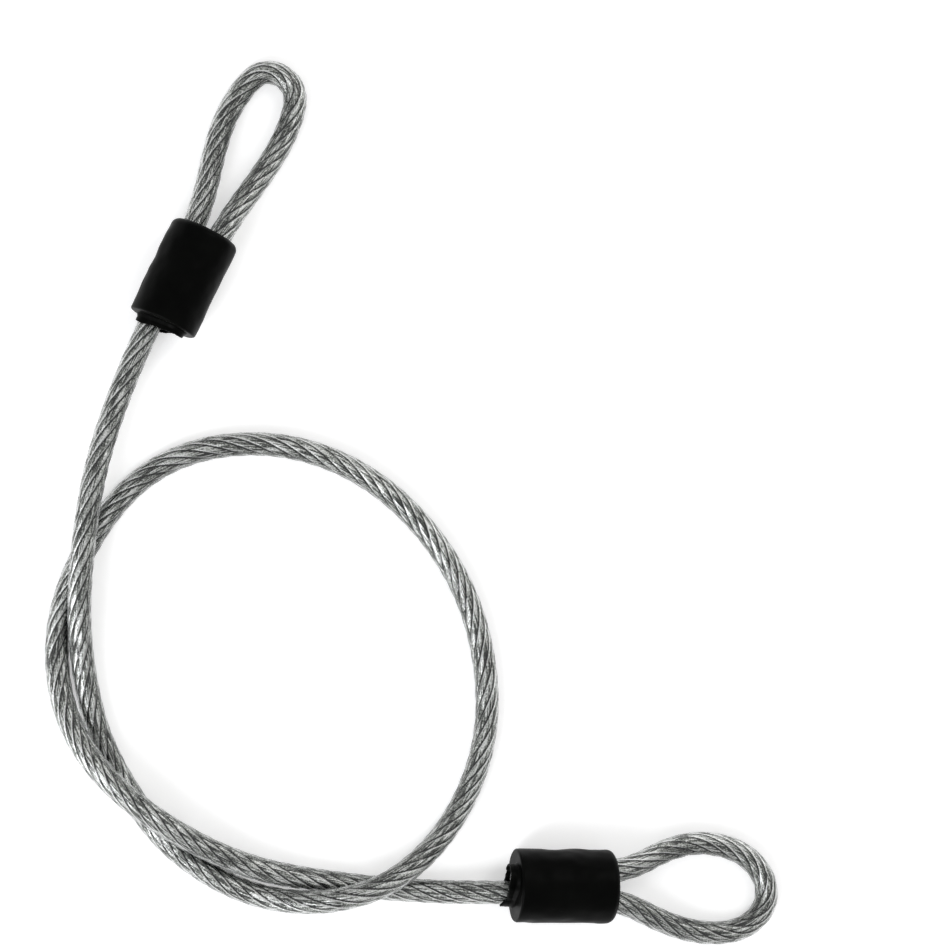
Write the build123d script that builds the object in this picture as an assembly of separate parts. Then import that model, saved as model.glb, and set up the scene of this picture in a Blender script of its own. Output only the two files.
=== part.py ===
from build123d import *
import os
from math import cos, radians, sin, tan

# A double-loop security cable for bicycles. A steel wire rope in a clear jacket
# is bent back on itself at each end into a teardrop eye. A ferrule pressed over
# both legs holds each eye, and a black sleeve covers the ferrule. The cable lies
# on the ground in one loose overhand knot.
#
# Millimetres. +Z up, the ground is Z = 0, and the origin is below the middle of
# the whole cable's box. +Y runs from the knot towards the upper eye.

# ---- Driving dimensions ----
cable_diameter = 10.0
jacket_wall = 0.6
fit_clearance = 0.05

leg_spacing = 11.6  # between the two legs' centres inside a ferrule
ferrule_wall = 1.65  # outside each leg
ferrule_length = 28.0
ferrule_edge = 1.0

upper_sleeve_wall = 2.4
lower_sleeve_wall = 3.2  # it has shrunk less
sleeve_length = 42.3
end_wall = 3.2  # behind the ferrule
mouth_lip = 0.3  # how far the rim closes in over the ferrule
rim_radius = 1.8
shoulder_radius = 2.0
neck_length = 4.0
neck_wall = 0.8

crossing_gap = 0.8  # between two stacked lengths of cable
bend_share = 0.45  # of a run, taken by the arc at its end
mouth_share = 0.9  # of the free cable between a ferrule and the next corner
mouth_corner = 1.15  # how far inside a sleeve's mouth its legs' corners lie
leg_lead = 3.85  # the upper eye's standing leg is straight this far beyond the mouth
neck_lead = 5.85  # and the cable this far beyond a neck
tail_end = 3.0  # how far into a neck the cable's cut end reaches

# ---- Worked out from them ----
cable_radius = cable_diameter / 2
rope_radius = cable_radius - jacket_wall
jacket_bore = rope_radius + fit_clearance
ferrule_bore = cable_radius + fit_clearance
ferrule_diameter = leg_spacing + 2 * (ferrule_bore + ferrule_wall)
pocket_radius = ferrule_diameter / 2 + fit_clearance
mouth_radius = pocket_radius - mouth_lip
ferrule_back = -sleeve_length / 2 + end_wall + fit_clearance
ferrule_face = ferrule_back + ferrule_length
neck_end = -sleeve_length / 2 - neck_length

# Along a cable end, from the middle of its sleeve
mouth_reach = sleeve_length / 2 - mouth_corner
leg_reach = sleeve_length / 2 + leg_lead
neck_reach = sleeve_length / 2 + neck_length + neck_lead
tail_reach = sleeve_length / 2 + tail_end

low = cable_radius  # a length of cable lying on the ground
high = low + cable_diameter + crossing_gap  # and one lying across it


class CableEnd:
    """One crimped end, lying level: its local Z points out of the mouth, along
    the eye, and its local X runs from the standing leg to the tail."""

    def __init__(self, x, y, heading, roll, sleeve_wall):
        self.sleeve_radius = pocket_radius + sleeve_wall
        out = Vector(cos(radians(heading)), sin(radians(heading)), 0)
        right = out.cross(Vector(0, 0, 1))
        across = right * cos(radians(roll)) + Vector(0, 0, sin(radians(roll)))
        self.plane = Plane(origin=(x, y, self.sleeve_radius), x_dir=across, z_dir=out)

    def standing(self, reach):
        return self.plane.from_local_coords(Vector(-leg_spacing / 2, 0, reach))

    def tail(self, reach):
        return self.plane.from_local_coords(Vector(leg_spacing / 2, 0, reach))

    def place(self, shape):
        return self.plane.location * shape


upper_end = CableEnd(-100.5, 93.5, heading=64.4, roll=42, sleeve_wall=upper_sleeve_wall)
lower_end = CableEnd(60.5, -160.2, heading=-1.5, roll=125, sleeve_wall=lower_sleeve_wall)


# ---- The cable's route, from one cut end to the other ----
def upper_eye_route():
    return [
        upper_end.tail(-tail_reach),
        upper_end.tail(mouth_reach),
        Vector(-65, 140.5, low + 4.5),
        Vector(-56, 156.5, low + 1.5),
        Vector(-51.5, 172, low),
        Vector(-57.5, 180.5, low),
        Vector(-67, 182, low),
        Vector(-75, 174.5, low),
        Vector(-85, 157, low + 1),
        upper_end.standing(leg_reach),
    ]


def main_route():
    return [
        upper_end.standing(-neck_reach),
        Vector(-131.5, 33, low + 8),
        Vector(-139.5, 3.5, high),  # over, the first crossing
        Vector(-144, -39, high),
        Vector(-141, -69, low + 0.5),
        Vector(-133, -101, low),
        Vector(-112, -136.5, low),  # under, the second crossing
        Vector(-91, -154, low),
        Vector(-67, -164, low),
        Vector(-39, -166, high),  # over, the third crossing
        Vector(-10, -157, high),
        Vector(16.5, -133.5, low),
        Vector(31, -97, low),
        Vector(28, -55, low),
        Vector(12, -19, low),
        Vector(-18, 11.5, low),
        Vector(-56, 26.5, low),
        Vector(-97, 23.5, low),
        Vector(-127.5, 3.5, low),
        Vector(-150, -37.5, low),  # under, back at the first crossing
        Vector(-152.5, -73.5, low + 1),
        Vector(-141.5, -103.5, high),  # over, back at the second crossing
        Vector(-115.5, -128.5, high),
        Vector(-77.5, -149.5, low + 3),
        Vector(-39.5, -158, low),  # under, back at the third crossing
        Vector(3, -162.5, low),
        lower_end.standing(-neck_reach),
    ]


def lower_eye_route():
    return [
        lower_end.standing(mouth_reach),
        Vector(114, -181.5, low + 1.5),
        Vector(139.5, -183, low),
        Vector(152.5, -173, low),
        Vector(152.5, -158.5, low),
        Vector(139.5, -146, low),
        Vector(114, -142.5, low + 3),
        lower_end.tail(mouth_reach),
        lower_end.tail(-tail_reach),
    ]


def run_for_arc(reach, run):
    """The length of a run that an arc may use. A run into a ferrule stays
    straight from the ferrule's or the neck's face, which lies reach away."""
    return bend_share * run if reach is None else min(bend_share * run, mouth_share * reach)


def corner_radii(points, reaches):
    """One radius for each inner corner, as large as its two runs allow."""
    radii = []
    for i in range(1, len(points) - 1):
        before = points[i] - points[i - 1]
        after = points[i + 1] - points[i]
        setback = min(run_for_arc(reaches.get(i), run.length) for run in (before, after))
        radii.append(setback / tan(radians(before.get_angle(after) / 2)))
    return radii


def cable_path(name, points, reaches):
    radii = corner_radii(points, reaches)
    path = FilletPolyline(*points, radius=radii)
    print(name, "length", round(path.length, 1), "radii", [round(r) for r in radii])
    return path


def tube(path, radius):
    return sweep(Plane(origin=path @ 0, z_dir=path % 0) * Circle(radius), path=path)


def rope_and_jacket(name, path):
    """The steel rope, and the clear jacket round it: a tube open at both ends."""
    rope = tube(path, rope_radius)
    whole = tube(path, cable_radius)
    ends = whole.faces().filter_by(GeomType.PLANE)
    jacket = offset(whole, amount=jacket_bore - cable_radius, openings=list(ends))
    share = whole.volume / (Circle(cable_radius).area * path.length)
    print(name, "volume over section times length", round(share, 4))
    return {name + "_rope": rope, name + "_jacket": jacket}


# ---- The crimped ends, in their own frame ----
def two_legs(radius, start, end):
    """The space that both legs take, side by side, between two faces."""
    section = Sketch() + [loc * Circle(radius) for loc in Locations((-leg_spacing / 2, 0), (leg_spacing / 2, 0))]
    return extrude(Plane.XY.offset(start) * section, amount=end - start)


def slot_block(radius, start, end):
    """A block with round sides that wraps both legs, between two faces."""
    section = SlotCenterToCenter(leg_spacing, 2 * radius)
    return extrude(Plane.XY.offset(start) * section, amount=end - start)


def round_block(radius, start, end):
    return extrude(Plane.XY.offset(start) * Circle(radius), amount=end - start)


def ferrule():
    barrel = round_block(ferrule_diameter / 2, ferrule_back, ferrule_face)
    barrel = fillet(barrel.edges().filter_by(GeomType.CIRCLE), ferrule_edge)
    return barrel - two_legs(ferrule_bore, ferrule_back, ferrule_face)


def sleeve(radius):
    back, mouth = -sleeve_length / 2, sleeve_length / 2
    body = round_block(radius, back, mouth)
    rims = body.edges().filter_by(GeomType.CIRCLE).sort_by(Axis.Z)
    body = fillet(rims[-1], rim_radius)
    body = fillet(body.edges().filter_by(GeomType.CIRCLE).sort_by(Axis.Z)[0], shoulder_radius)
    neck = slot_block(ferrule_bore + neck_wall, neck_end, back)
    pocket = round_block(pocket_radius, back + end_wall, mouth - rim_radius)
    mouth_opening = round_block(mouth_radius, mouth - rim_radius, mouth)
    neck_opening = slot_block(ferrule_bore, neck_end, back + end_wall)
    return body + neck - pocket - mouth_opening - neck_opening


# ---- Build ----
upper_eye = upper_eye_route()
main = main_route()
lower_eye = lower_eye_route()

# The rope and jacket are cut for modelling where each standing leg passes the
# middle of its ferrule, and the lengths meet there face to face.
mouth_free = mouth_reach - ferrule_face
leg_free = leg_reach - ferrule_face
neck_free = neck_reach + neck_end
paths = {
    "upper_eye": cable_path(
        "upper_eye",
        upper_eye + [upper_end.standing(0)],
        {1: mouth_free, len(upper_eye) - 1: leg_free},
    ),
    "main": cable_path(
        "main",
        [upper_end.standing(0)] + main + [lower_end.standing(0)],
        {1: neck_free, len(main): neck_free},
    ),
    "lower_eye": cable_path(
        "lower_eye",
        [lower_end.standing(0)] + lower_eye,
        {1: mouth_free, len(lower_eye) - 1: mouth_free},
    ),
}
print("whole cable", round(sum(path.length for path in paths.values()), 1))

nodes = {}
for name, path in paths.items():
    nodes.update(rope_and_jacket(name, path))
for name, end in {"upper": upper_end, "lower": lower_end}.items():
    nodes[name + "_ferrule"] = end.place(ferrule())
    nodes[name + "_sleeve"] = end.place(sleeve(end.sleeve_radius))

os.makedirs("parts", exist_ok=True)
for name, shape in nodes.items():
    export_step(shape, f"parts/{name}.step")
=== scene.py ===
from math import cos, pi, radians, sin, sqrt, tan

import bpy
from mathutils import Matrix, Vector, noise


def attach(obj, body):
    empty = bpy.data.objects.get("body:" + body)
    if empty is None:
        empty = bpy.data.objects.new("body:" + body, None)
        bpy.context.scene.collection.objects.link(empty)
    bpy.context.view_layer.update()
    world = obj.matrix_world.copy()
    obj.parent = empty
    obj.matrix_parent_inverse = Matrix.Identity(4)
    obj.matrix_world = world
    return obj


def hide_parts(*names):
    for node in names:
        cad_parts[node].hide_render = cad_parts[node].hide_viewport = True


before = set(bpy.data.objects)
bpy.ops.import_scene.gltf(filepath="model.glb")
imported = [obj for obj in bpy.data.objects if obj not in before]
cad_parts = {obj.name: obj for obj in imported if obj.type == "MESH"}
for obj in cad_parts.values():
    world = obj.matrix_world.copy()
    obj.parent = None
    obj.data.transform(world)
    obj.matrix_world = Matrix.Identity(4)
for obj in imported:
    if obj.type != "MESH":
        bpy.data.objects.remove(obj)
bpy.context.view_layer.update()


# ---- The cable's line ----
# One 1.47 m steel cable. Each end is bent back on itself into a teardrop eye,
# and its legs lie side by side in a ferrule. Between the eyes the cable lies on
# the ground in one loose overhand knot.
#
# Metres, as in the frame. A length of cable that rests on the ground has its
# middle at 0.005, and one that lies across another at 0.0158 or a little more.
cable_radius = 0.005
leg_spacing = 0.0116  # between the two legs' centres in a crimped end

# Along a crimped end, from the middle of its sleeve
mouth_reach = 0.02
standing_reach = 0.025  # the upper eye's standing leg is straight this far
neck_reach = -0.031  # and the cable this far behind the sleeve
upper_cut = -0.0224  # the cable's cut ends, inside the torn necks
lower_cut = -0.0232


class CrimpedEnd:
    """One crimped end, lying level: its local Z points out of the sleeve's
    mouth, and its local X runs from the standing leg to the tail."""

    def __init__(self, name, x, y, heading, roll, sleeve_radius):
        out = Vector((cos(radians(heading)), sin(radians(heading)), 0))
        right = out.cross(Vector((0, 0, 1)))
        across = right * cos(radians(roll)) + Vector((0, 0, sin(radians(roll))))
        self.name, self.roll, self.sleeve_radius = name, radians(roll), sleeve_radius
        self.place = Matrix((across, out.cross(across), out)).transposed().to_4x4()
        self.place.translation = (x, y, sleeve_radius)

    def standing(self, reach):
        return tuple(self.place @ Vector((-leg_spacing / 2, 0, reach)))

    def tail(self, reach):
        return tuple(self.place @ Vector((leg_spacing / 2, 0, reach)))


upper_end = CrimpedEnd("upper", -0.1005, 0.0935, heading=64.4, roll=42, sleeve_radius=0.01495)
lower_end = CrimpedEnd("lower", 0.0605, -0.1602, heading=-1.5, roll=125, sleeve_radius=0.01575)

route = [
    upper_end.tail(upper_cut),
    upper_end.tail(mouth_reach),
    (-0.065, 0.1405, 0.0095),
    (-0.056, 0.1565, 0.0065),
    (-0.0515, 0.172, 0.005),
    (-0.0575, 0.1805, 0.005),
    (-0.067, 0.182, 0.005),
    (-0.075, 0.1745, 0.005),
    (-0.085, 0.157, 0.006),
    upper_end.standing(standing_reach),
    upper_end.standing(neck_reach),
    (-0.1315, 0.033, 0.013),
    (-0.1395, 0.0035, 0.0158),  # over, the first crossing
    (-0.144, -0.039, 0.0158),
    (-0.141, -0.069, 0.006),
    (-0.133, -0.101, 0.005),
    (-0.1112, -0.1354, 0.005),  # under, the second crossing
    (-0.0903, -0.1528, 0.005),
    (-0.067, -0.164, 0.005),
    (-0.039, -0.166, 0.0158),  # over, the third crossing
    (-0.01, -0.157, 0.0158),
    (0.0165, -0.1335, 0.005),
    (0.031, -0.097, 0.005),
    (0.028, -0.055, 0.005),
    (0.012, -0.019, 0.005),
    (-0.018, 0.0115, 0.005),
    (-0.056, 0.0265, 0.005),
    (-0.097, 0.0235, 0.005),
    (-0.1275, 0.0035, 0.005),
    (-0.15, -0.0375, 0.005),  # under, back at the first crossing
    (-0.1525, -0.0735, 0.006),
    (-0.1415, -0.1035, 0.0164),  # over, back at the second crossing
    (-0.1155, -0.1285, 0.0168),
    (-0.0775, -0.1495, 0.0092),
    (-0.0395, -0.158, 0.005),  # under, back at the third crossing
    (0.003, -0.1625, 0.005),
    lower_end.standing(neck_reach),
    lower_end.standing(mouth_reach),
    (0.114, -0.1815, 0.0065),
    (0.1395, -0.183, 0.005),
    (0.1525, -0.173, 0.005),
    (0.1525, -0.1585, 0.005),
    (0.1395, -0.146, 0.005),
    (0.114, -0.1425, 0.008),
    lower_end.tail(mouth_reach),
    lower_end.tail(lower_cut),
]

cable_line = bpy.data.curves.new("cable_line", "CURVE")
cable_line.dimensions = "3D"
cable_line.twist_mode = "MINIMUM"
spline = cable_line.splines.new("NURBS")
spline.points.add(len(route) - 1)
for point, place in zip(spline.points, route):
    point.co = (*place, 1)
spline.order_u = 3
spline.use_endpoint_u = True
cable_line.resolution_u = 14
cable_line_object = bpy.data.objects.new("cable_line", cable_line)
bpy.context.scene.collection.objects.link(cable_line_object)
bpy.context.view_layer.update()
line_mesh = bpy.data.meshes.new_from_object(
    cable_line_object.evaluated_get(bpy.context.evaluated_depsgraph_get())
)
bpy.data.objects.remove(cable_line_object)


# ---- The wire rope ----
# Eight strands of bright galvanised wire, laid right-handed round a core strand,
# one turn every 62 mm. The wires of a strand twist the other way, so that they
# run nearly straight along the rope.
class Field:
    """A value in a node tree. Arithmetic on it adds the Math nodes it needs."""

    def __init__(self, work, socket):
        self.work, self.socket = work, socket

    def math(self, operation, *others):
        return self.work.node("ShaderNodeMath", {"operation": operation}, dict(enumerate((self, *others))))

    def __add__(self, other):
        return self.math("ADD", other)

    def __sub__(self, other):
        return self.math("SUBTRACT", other)

    def __mul__(self, other):
        return self.math("MULTIPLY", other)

    def __truediv__(self, other):
        return self.math("DIVIDE", other)

    def __pow__(self, other):
        return self.math("POWER", other)

    __radd__ = __add__
    __rmul__ = __mul__

    def __rsub__(self, other):
        return (self * -1).math("ADD", other)

    def clip(self):
        return self.math("MAXIMUM", 0.0).math("MINIMUM", 1.0)


class NodeWork:
    """Adds nodes to one shader or geometry tree."""

    def __init__(self, tree):
        self.tree = tree

    def node(self, kind, settings=None, values=None, out=0):
        node = self.tree.nodes.new(kind)
        for name, value in (settings or {}).items():
            if name == "stops":
                ramp = node.color_ramp.elements
                while len(ramp) < len(value):
                    ramp.new(0.5)
                for element, (position, colour) in zip(ramp, value):
                    element.position, element.color = position, (*colour, 1)
            else:
                setattr(node, name, value)
        for key, value in (values or {}).items():
            if isinstance(value, Field):
                self.tree.links.new(value.socket, node.inputs[key])
            else:
                node.inputs[key].default_value = value
        return Field(self, node.outputs[out])

    def more(self, field, name):
        """Another output of the node that a field comes from."""
        return Field(self, field.socket.node.outputs[name])


def new_material(name, colour):
    material = bpy.data.materials.new(name)
    material.use_nodes = True
    material.node_tree.nodes.clear()
    material.diffuse_color = (*colour, 1)
    return material, NodeWork(material.node_tree)


def finish_surface(work, shader):
    output = work.tree.nodes.new("ShaderNodeOutputMaterial")
    work.tree.links.new(shader.socket, output.inputs["Surface"])


def attribute(work, name):
    return work.more(work.node("ShaderNodeAttribute", {"attribute_name": name}), "Fac")


def mottling(work, place, scale, detail, roughness):
    values = {"Vector": place, "Scale": scale, "Detail": detail, "Roughness": roughness}
    return work.node("ShaderNodeTexNoise", None, values)


# The tree below stores four values on the wires: crest is 1 on top of a wire
# and 0 between two, tone is each wire's own brightness along its length,
# outward is the distance from the rope's axis in rope radii, and lean runs from
# -1 on one flank of a strand to 1 on the other. The colour paints shade: the
# gaps between strands go dark by outward, and it is darker between wires by
# crest. It also paints a bright broken highlight line along one side of each
# strand, and makes one flank of each strand lighter than the other by lean.


wire_steel, work = new_material("galvanised_wire", (0.5, 0.51, 0.5))
crest = attribute(work, "crest")
outward = attribute(work, "outward")
tone = attribute(work, "tone")
lean = attribute(work, "lean")
place = work.node("ShaderNodeTexCoord", None, None, "Object")
flecks = mottling(work, place, 1300.0, 2.0, 0.65)
clouds = mottling(work, place, 120.0, 1.0, 0.5)
# painted shade: the gaps between strands go dark, shifted a little to one flank
painted_gap_shade = ((outward - 0.872 - lean * 0.01) / 0.042).clip()
# painted highlight: a bright broken line along one side of each strand
edge = (1 - ((outward - 0.925) / 0.03).math("ABSOLUTE")).clip()
edge = edge * (0.5 - lean).clip() * (clouds * 4 - 1.3).clip()
# painted shade: darker between wires, by crest
level = tone * (0.35 + crest * 0.9) * (0.75 + clouds * 0.5) + (flecks - 0.5) * 1.4
# painted light and shade: one flank of each strand lighter than the other, by lean
level = (level + edge * 1.2 - lean * 0.14 + 0.03) * painted_gap_shade
steel_greys = [
    (0.0, (0.004, 0.0045, 0.005)),
    (0.3, (0.048, 0.052, 0.047)),
    (0.6, (0.25, 0.262, 0.24)),
    (0.85, (0.78, 0.8, 0.77)),
    (1.0, (1.0, 1.0, 1.0)),
]
colour = work.node("ShaderNodeValToRGB", {"stops": steel_greys}, {"Fac": (level * 1.22 - 0.1).clip()})
bump = work.node("ShaderNodeBump", None, {"Strength": 0.8, "Distance": 0.0003, "Height": flecks})
steel = work.node(
    "ShaderNodeBsdfPrincipled",
    None,
    {"Base Color": colour, "Metallic": 0.9, "Roughness": (0.5 - flecks * 0.25).clip(), "Normal": bump},
)
finish_surface(work, steel)

# One tree lays a strand: it winds the cable's line into a helix and sweeps a
# ring of wires along it, twisted the other way. The tree also makes the core
# and the jacket, which have no offset from the line.
strand_tree = bpy.data.node_groups.new("laid_strand", "GeometryNodeTree")
tree_inputs = {
    "Geometry": "NodeSocketGeometry",
    "Turn": "NodeSocketFloat",
    "Off Axis": "NodeSocketFloat",
    "Radius": "NodeSocketFloat",
    "Lay Length": "NodeSocketFloat",
    "Wires": "NodeSocketInt",
    "Wire Lay": "NodeSocketFloat",
    "Wire Sides": "NodeSocketInt",
    "Groove": "NodeSocketFloat",
    "Rope Radius": "NodeSocketFloat",
    "Step": "NodeSocketFloat",
    "Seed": "NodeSocketInt",
    "Finish": "NodeSocketMaterial",
}
for name, kind in tree_inputs.items():
    strand_tree.interface.new_socket(name, in_out="INPUT", socket_type=kind)
strand_tree.interface.new_socket("Geometry", in_out="OUTPUT", socket_type="NodeSocketGeometry")
work = NodeWork(strand_tree)
first = work.node("NodeGroupInput")
given = {name: work.more(first, name) for name in tree_inputs}


def keep(geometry, **fields):
    """Keeps fields as they are on this geometry, and returns it with them."""
    node = work.tree.nodes.new("GeometryNodeCaptureAttribute")
    work.tree.links.new(geometry.socket, node.inputs["Geometry"])
    for name, (kind, field) in fields.items():
        node.capture_items.new(kind, name)
        work.tree.links.new(field.socket, node.inputs[name])
    return [Field(work, node.outputs[name]) for name in ("Geometry", *fields)]


def scaled(vector, amount):
    return work.node("ShaderNodeVectorMath", {"operation": "SCALE"}, {0: vector, "Scale": amount})


def combined(operation, first, second, out=0):
    return work.node("ShaderNodeVectorMath", {"operation": operation}, {0: first, 1: second}, out)


position = work.node("GeometryNodeInputPosition")
line = work.node("GeometryNodeMeshToCurve", None, {"Mesh": given["Geometry"]})
line = work.node("GeometryNodeResampleCurve", {"mode": "LENGTH"}, {"Curve": line, "Length": given["Step"]})
length = work.node("GeometryNodeSplineParameter", None, None, "Length")
up = work.node("GeometryNodeInputNormal")
ahead = work.node("GeometryNodeInputTangent")
line, axis, along, ahead, up = keep(
    line, axis=("VECTOR", position), along=("FLOAT", length), ahead=("VECTOR", ahead), up=("VECTOR", up)
)
side = combined("CROSS_PRODUCT", ahead, up)
turn = given["Turn"] + along / given["Lay Length"] * (2 * pi)
offset = combined(
    "ADD",
    scaled(up, turn.math("COSINE") * given["Off Axis"]),
    scaled(side, turn.math("SINE") * given["Off Axis"]),
)
line = work.node("GeometryNodeSetPosition", None, {"Geometry": line, "Offset": offset})
line, middle = keep(line, middle=("VECTOR", position))
twist = given["Turn"] + along / given["Wire Lay"] * (2 * pi)
line = work.node("GeometryNodeSetCurveTilt", None, {"Curve": line, "Tilt": twist})
ring = work.node(
    "GeometryNodeCurvePrimitiveCircle",
    {"mode": "RADIUS"},
    {"Resolution": given["Wires"] * given["Wire Sides"], "Radius": given["Radius"]},
)
index = work.node("GeometryNodeInputIndex")
round_wire = 0.5 - (index / given["Wire Sides"] * (2 * pi)).math("COSINE") * 0.5
ring = work.node(
    "GeometryNodeSetPosition",
    None,
    {"Geometry": ring, "Position": scaled(position, 1 - (1 - round_wire) * given["Groove"])},
)
wire = (index / given["Wire Sides"]).math("FLOOR")
ring, crest, wire = keep(ring, crest=("FLOAT", round_wire), wire=("FLOAT", wire))
strand = work.node("GeometryNodeCurveToMesh", None, {"Curve": line, "Profile Curve": ring, "Fill Caps": True})
from_axis = combined("DISTANCE", position, axis, "Value")
across = combined("CROSS_PRODUCT", combined("SUBTRACT", middle, axis), combined("SUBTRACT", position, middle))
lean = combined("DOT_PRODUCT", across, ahead, "Value")
spot = work.node("ShaderNodeCombineXYZ", None, {"X": wire * 3.7, "Y": along * 90, "Z": given["Seed"] * 5.3})
streak = mottling(work, spot, 1.0, 1.0, 0.6)
# outward and lean feed the wire colour's painted shade in the gaps and its painted highlight and lighter flank;
# crest feeds its painted shade between wires
for name, value in {
    "crest": crest,
    "tone": ((streak - 0.5) * 3.4 + 0.55).clip() * 0.85 + 0.17,
    "outward": from_axis / given["Rope Radius"],
    "lean": lean / (given["Radius"] * given["Off Axis"]).math("MAXIMUM", 1e-7),
}.items():
    strand = work.node(
        "GeometryNodeStoreNamedAttribute",
        {"data_type": "FLOAT", "domain": "POINT"},
        {"Geometry": strand, "Name": name, "Value": value},
    )
strand = work.node("GeometryNodeRealizeInstances", None, {"Geometry": strand})
strand = work.node("GeometryNodeSetMaterial", None, {"Geometry": strand, "Material": given["Finish"]})
last = strand_tree.nodes.new("NodeGroupOutput")
strand_tree.links.new(strand.socket, last.inputs["Geometry"])


def along_cable(name, sizes):
    """Runs the tree on the cable's line and returns the plain mesh piece."""
    carrier = bpy.data.objects.new(name + "_line", line_mesh)
    bpy.context.scene.collection.objects.link(carrier)
    modifier = carrier.modifiers.new("lay", "NODES")
    modifier.node_group = strand_tree
    for item in strand_tree.interface.items_tree:
        if item.in_out == "INPUT" and item.name in sizes:
            modifier[item.identifier] = sizes[item.name]
    bpy.context.view_layer.update()
    mesh = bpy.data.meshes.new_from_object(carrier.evaluated_get(bpy.context.evaluated_depsgraph_get()))
    mesh.name = name
    bpy.data.objects.remove(carrier)
    piece = bpy.data.objects.new(name, mesh)
    bpy.context.scene.collection.objects.link(piece)
    return piece


rope_radius = 0.00465  # to the strands' crowns
strand_radius = 0.0016
strand_count = 8
lay_length = 0.062
strand_values = {
    "Off Axis": rope_radius - strand_radius,
    "Radius": strand_radius,
    "Lay Length": lay_length,
    "Wires": 24,
    "Wire Lay": -0.036,
    "Wire Sides": 3,
    "Groove": 0.085,
    "Rope Radius": rope_radius,
    "Step": 0.0019,
    "Finish": wire_steel,
}
strands = [
    along_cable(f"strand_{number + 1}", {**strand_values, "Turn": number * 2 * pi / strand_count, "Seed": number})
    for number in range(strand_count)
]
core_values = {"Off Axis": 0.0, "Radius": 0.002, "Wires": 12, "Turn": 0.0, "Seed": 20}
core = along_cable("core_strand", {**strand_values, **core_values})


# ---- The clear jacket ----
# Thin clear flexible plastic over the whole rope. It dips a little into the
# gaps between the strands, follows their lay, and ends with the rope at each
# cut end. Seen at a glancing angle it turns hazy.
clear_plastic, work = new_material("clear_jacket", (0.9, 0.92, 0.92))
place = work.node("ShaderNodeTexCoord", None, None, "Object")
ripple = mottling(work, place, 420.0, 2.0, 0.6)
bump = work.node("ShaderNodeBump", None, {"Strength": 0.6, "Distance": 0.0004, "Height": ripple})
film = work.node("ShaderNodeBsdfTransparent", None, {"Color": (0.98, 0.985, 0.98, 1)})
gloss = work.node("ShaderNodeBsdfGlossy", None, {"Color": (1, 1, 1, 1), "Roughness": 0.14, "Normal": bump})
haze = work.node("ShaderNodeBsdfDiffuse", None, {"Color": (0.85, 0.87, 0.87, 1)})
fresnel = work.node("ShaderNodeFresnel", None, {"IOR": 1.45, "Normal": bump})
facing = work.node("ShaderNodeLayerWeight", None, {"Blend": 0.5}, "Facing")
hazy = work.node("ShaderNodeMixShader", None, {0: (facing ** 4.0 * 0.6 + 0.02).clip(), 1: film, 2: haze})
plastic = work.node("ShaderNodeMixShader", None, {0: fresnel, 1: hazy, 2: gloss})
finish_surface(work, plastic)
lobe_values = {
    "Off Axis": 0.0,
    "Radius": cable_radius,
    "Turn": pi / strand_count,
    "Wires": strand_count,
    "Wire Lay": lay_length,
    "Wire Sides": 6,
    "Groove": 0.045,
    "Finish": clear_plastic,
}
jacket = along_cable("clear_jacket", {**strand_values, **lobe_values})

for piece in (*strands, core):
    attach(piece, "root")
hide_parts("main_rope", "upper_eye_rope", "lower_eye_rope")
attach(jacket, "root")
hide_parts("main_jacket", "upper_eye_jacket", "lower_eye_jacket")


# ---- The ferrules ----
# Aluminium barrels pressed over both legs, hidden in the sleeves.
pressed_aluminium, work = new_material("pressed_aluminium", (0.7, 0.71, 0.72))
place = work.node("ShaderNodeTexCoord", None, None, "Object")
grain = mottling(work, place, 900.0, 3.0, 0.6)
colour = work.node(
    "ShaderNodeValToRGB", {"stops": [(0.3, (0.5, 0.51, 0.52)), (0.7, (0.74, 0.75, 0.76))]}, {"Fac": grain}
)
bump = work.node("ShaderNodeBump", None, {"Strength": 0.3, "Distance": 0.0003, "Height": grain})
metal = work.node(
    "ShaderNodeBsdfPrincipled",
    None,
    {"Base Color": colour, "Metallic": 1.0, "Roughness": 0.35 + grain * 0.25, "Normal": bump},
)
finish_surface(work, metal)
for end in (upper_end, lower_end):
    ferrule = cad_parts[end.name + "_ferrule"]
    ferrule.data.materials.clear()
    ferrule.data.materials.append(pressed_aluminium)


# ---- The sleeves ----
# Black plastic sleeves, shrunk hot over the ferrules, so their sides wave a
# little. Each mouth is open to the eye's legs, and behind the ferrule the
# plastic closes to a short torn neck round the cable and its cut tail.
black_plastic, work = new_material("black_sleeve", (0.015, 0.015, 0.016))
place = work.node("ShaderNodeTexCoord", None, None, "Object")
mottle = mottling(work, place, 90.0, 3.0, 0.6)
skin = mottling(work, place, 1400.0, 2.0, 0.5)
blacks = [(0.35, (0.0004, 0.0005, 0.0004)), (0.7, (0.0012, 0.0014, 0.0011))]
colour = work.node("ShaderNodeValToRGB", {"stops": blacks}, {"Fac": mottle})
bump = work.node("ShaderNodeBump", None, {"Strength": 0.12, "Distance": 0.0002, "Height": skin})
plastic = work.node(
    "ShaderNodeBsdfPrincipled",
    None,
    {
        "Base Color": colour,
        "Roughness": (0.3 + mottle * 0.2).clip(),
        "Normal": bump,
        "Specular IOR Level": 0.035,
    },
)
finish_surface(work, plastic)

sleeve_half = 0.02115  # half its length without the neck
pocket_radius = 0.01255
neck_radius = 0.0068  # round each leg
neck_length = 0.003
around = 160  # points in each ring of a sleeve's skin


def slot_reach(angle, radius):
    """From the middle of a slot with round ends to its edge, at an angle."""
    half = leg_spacing / 2
    across, along = abs(cos(angle)), abs(sin(angle))
    if radius * across <= half * along:
        return radius / along
    return across * half + sqrt(max(radius * radius - (along * half) ** 2, 0))


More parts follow.
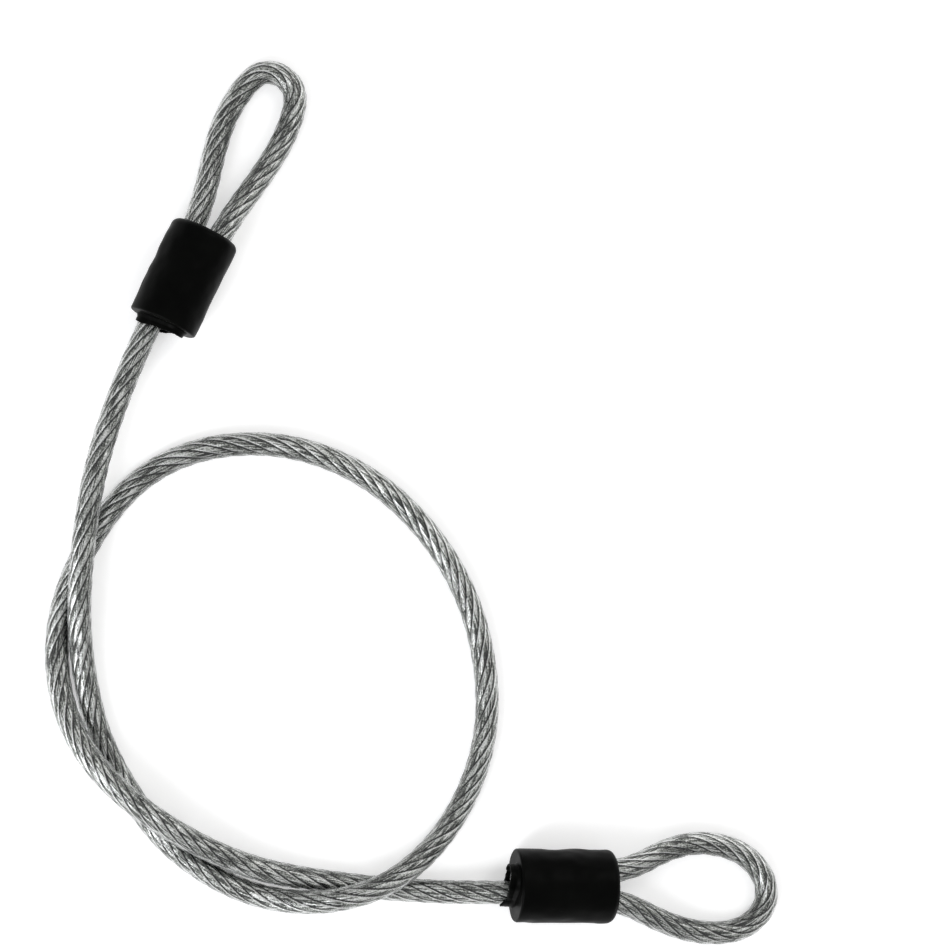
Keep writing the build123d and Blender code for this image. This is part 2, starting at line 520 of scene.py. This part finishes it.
def shape_sleeve(end, hooks, seed):
    """The sleeve's skin as one closed wall. Hooks are where the torn neck is
    longer or shorter: (degrees from its right side, half width, length)."""
    back, mouth = -sleeve_half, sleeve_half
    outer, rim, shoulder = end.sleeve_radius, 0.003, 0.001
    lip = back - 0.0002 - neck_length  # the neck's end before it is torn
    stations = []  # (z, round radius, slot radius, share of the slot, how wavy, how torn)

    def arc(z, radius, size, start, stop, steps):
        for i in range(steps + 1):
            turn = radians(start + (stop - start) * i / steps)
            stations.append((z + size * sin(turn), radius + size * cos(turn), 0.0, 0.0, 1.0, 0.0))

    arc(mouth - rim, outer - rim, rim, 84, 0, 9)
    for i in range(1, 34):
        stations.append((mouth - rim + (back + shoulder - mouth + rim) * i / 34, outer, 0.0, 0.0, 1.0, 0.0))
    arc(back + shoulder, outer - shoulder, shoulder, 0, -82, 7)
    for i in range(1, 11):  # the closed back, round to slot
        share = i / 10
        smooth = share * share * (3 - 2 * share)
        rounded = outer - shoulder - 0.0012 * share
        stations.append((back - 0.0002 * share, rounded, neck_radius, smooth, 0.5, 0.0))
    for i in range(1, 15):  # the neck
        share = i / 14
        thinned = neck_radius - 0.0008 * min(1, share * 2.5)
        stations.append((back - 0.0002 - neck_length * share, 0.0, thinned, 1.0, 0.3, share**1.5))
    stations.append((lip, 0.0, 0.00535, 1.0, 0.3, 1.0))
    stations.append((back - 0.001, 0.0, 0.00515, 1.0, 0.0, 0.0))
    stations.append((back + 0.0031, 0.0, 0.0051, 1.0, 0.0, 0.0))
    stations.append((back + 0.0033, pocket_radius, 0.0, 0.0, 0.0, 0.0))
    stations.append((0.0, pocket_radius, 0.0, 0.0, 0.0, 0.0))
    stations.append((mouth - 0.0035, 0.0125, 0.0, 0.0, 0.0, 0.0))
    stations.append((mouth - 0.001, 0.0121, 0.0, 0.0, 0.3, 0.0))
    stations.append((mouth - 0.0002, outer - rim + 0.0004, 0.0, 0.0, 0.6, 0.0))
    points, faces = [], []
    for z, radius, slot, share, wave, torn in stations:
        for step in range(around):
            angle = 2 * pi * step / around
            reach = radius
            if share:
                reach = radius * (1 - share) + slot_reach(angle, slot) * share
            spot = Vector((cos(angle) * 0.014, sin(angle) * 0.014, z))
            swell = noise.noise(spot * 90 + Vector((seed * 7.3, 0, 0)))
            swell += 0.6 * noise.noise(spot * 210 + Vector((0, seed * 3.1, 0)))
            reach += (0.0004 * swell - 0.00025) * wave
            depth = z
            if torn:
                rim_spot = Vector((cos(angle), sin(angle), seed * 5.0))
                tooth = 0.9 * noise.noise(rim_spot * 1.7) + 0.45 * noise.noise(rim_spot * 6.0)
                length = 0.0006 * (tooth + 0.2 * noise.noise(rim_spot * 15))
                for place, half, hook in hooks:
                    off = abs((angle - end.roll - radians(place) + pi) % (2 * pi) - pi)
                    pull = hook * max(0, 1 - off / radians(half))
                    length += pull
                    reach += torn * 0.5 * pull
                depth -= torn * length
            points.append(end.place @ Vector((reach * cos(angle), reach * sin(angle), depth)))
    count = len(stations)
    for row in range(count):
        here, below = row * around, (row + 1) % count * around
        for step in range(around):
            after = (step + 1) % around
            faces.append((here + step, below + step, below + after, here + after))
    mesh = bpy.data.meshes.new(end.name + "_sleeve_skin")
    mesh.from_pydata([tuple(point) for point in points], [], faces)
    mesh.polygons.foreach_set("use_smooth", [True] * len(mesh.polygons))
    mesh.update()
    return mesh


torn_hooks = {
    "upper": [(10, 80, -0.0016), (180, 30, 0.0005)],
    "lower": [(-90, 85, 0.0018), (0, 17, 0.0032), (180, 30, 0.0006)],
}
for seed, end in enumerate((upper_end, lower_end)):
    skin_mesh = shape_sleeve(end, torn_hooks[end.name], seed + 1)
    sleeve = bpy.data.objects.new(end.name + "_sleeve_skin", skin_mesh)
    bpy.context.scene.collection.objects.link(sleeve)
    sleeve.data.materials.append(black_plastic)
    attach(sleeve, "root")
    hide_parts(end.name + "_sleeve")


# ---- The ground, the light and the camera ----
# A plain pale floor under a bright even sky, with two soft lamps that light the
# strands from one side and the other. The camera looks almost straight down, from the knot's
# left.
floor_mesh = bpy.data.meshes.new("floor")
floor_mesh.from_pydata([(-4, -4, 0), (4, -4, 0), (4, 4, 0), (-4, 4, 0)], [], [(0, 1, 2, 3)])
floor = bpy.data.objects.new("floor", floor_mesh)
bpy.context.scene.collection.objects.link(floor)
pale, work = new_material("floor", (0.9, 0.9, 0.9))
ground = work.node(
    "ShaderNodeBsdfPrincipled",
    None,
    {
        "Base Color": (0.85, 0.85, 0.85, 1),
        "Roughness": 0.8,
        "Specular IOR Level": 0.1,
        "Emission Color": (1, 1, 1, 1),
        "Emission Strength": 0.35,
    },
)
finish_surface(work, ground)
floor_mesh.materials.append(pale)

world = bpy.data.worlds.new("sky")
world.use_nodes = True
world.node_tree.nodes["Background"].inputs["Color"].default_value = (1, 1, 1, 1)
world.node_tree.nodes["Background"].inputs["Strength"].default_value = 0.75
bpy.context.scene.world = world


def lamp(name, place, size, power, colour):
    light = bpy.data.lights.new(name, "AREA")
    light.shape = "RECTANGLE"
    light.size, light.size_y = size
    light.energy, light.color = power, colour
    holder = bpy.data.objects.new(name, light)
    holder.location = place
    holder.rotation_euler = (-Vector(place)).to_track_quat("-Z", "Y").to_euler()
    bpy.context.scene.collection.objects.link(holder)


lamp("left_lamp", (-1.0, -0.9, 1.0), (0.5, 1.2), 15, (0.96, 0.97, 1.0))
lamp("right_lamp", (0.9, 0.9, 1.3), (0.4, 1.0), 5, (1.0, 0.99, 0.97))

aim = Vector((0.02493, 0.01373, 0))
camera_distance = 1.4
view_width = 0.402475  # of the ground, across the frame
ahead = Vector((tan(radians(12)), tan(radians(2)), -1)).normalized()
right = ahead.cross(Vector((0, 1, 0))).normalized()
camera_data = bpy.data.cameras.new("camera")
camera_data.sensor_width = 36
camera_data.lens = camera_data.sensor_width * camera_distance / view_width
camera = bpy.data.objects.new("camera", camera_data)
camera.matrix_world = Matrix((right, right.cross(ahead), -ahead)).transposed().to_4x4()
camera.location = aim - ahead * camera_distance
bpy.context.scene.collection.objects.link(camera)
bpy.context.scene.camera = camera
bpy.context.scene.view_settings.view_transform = "Standard"
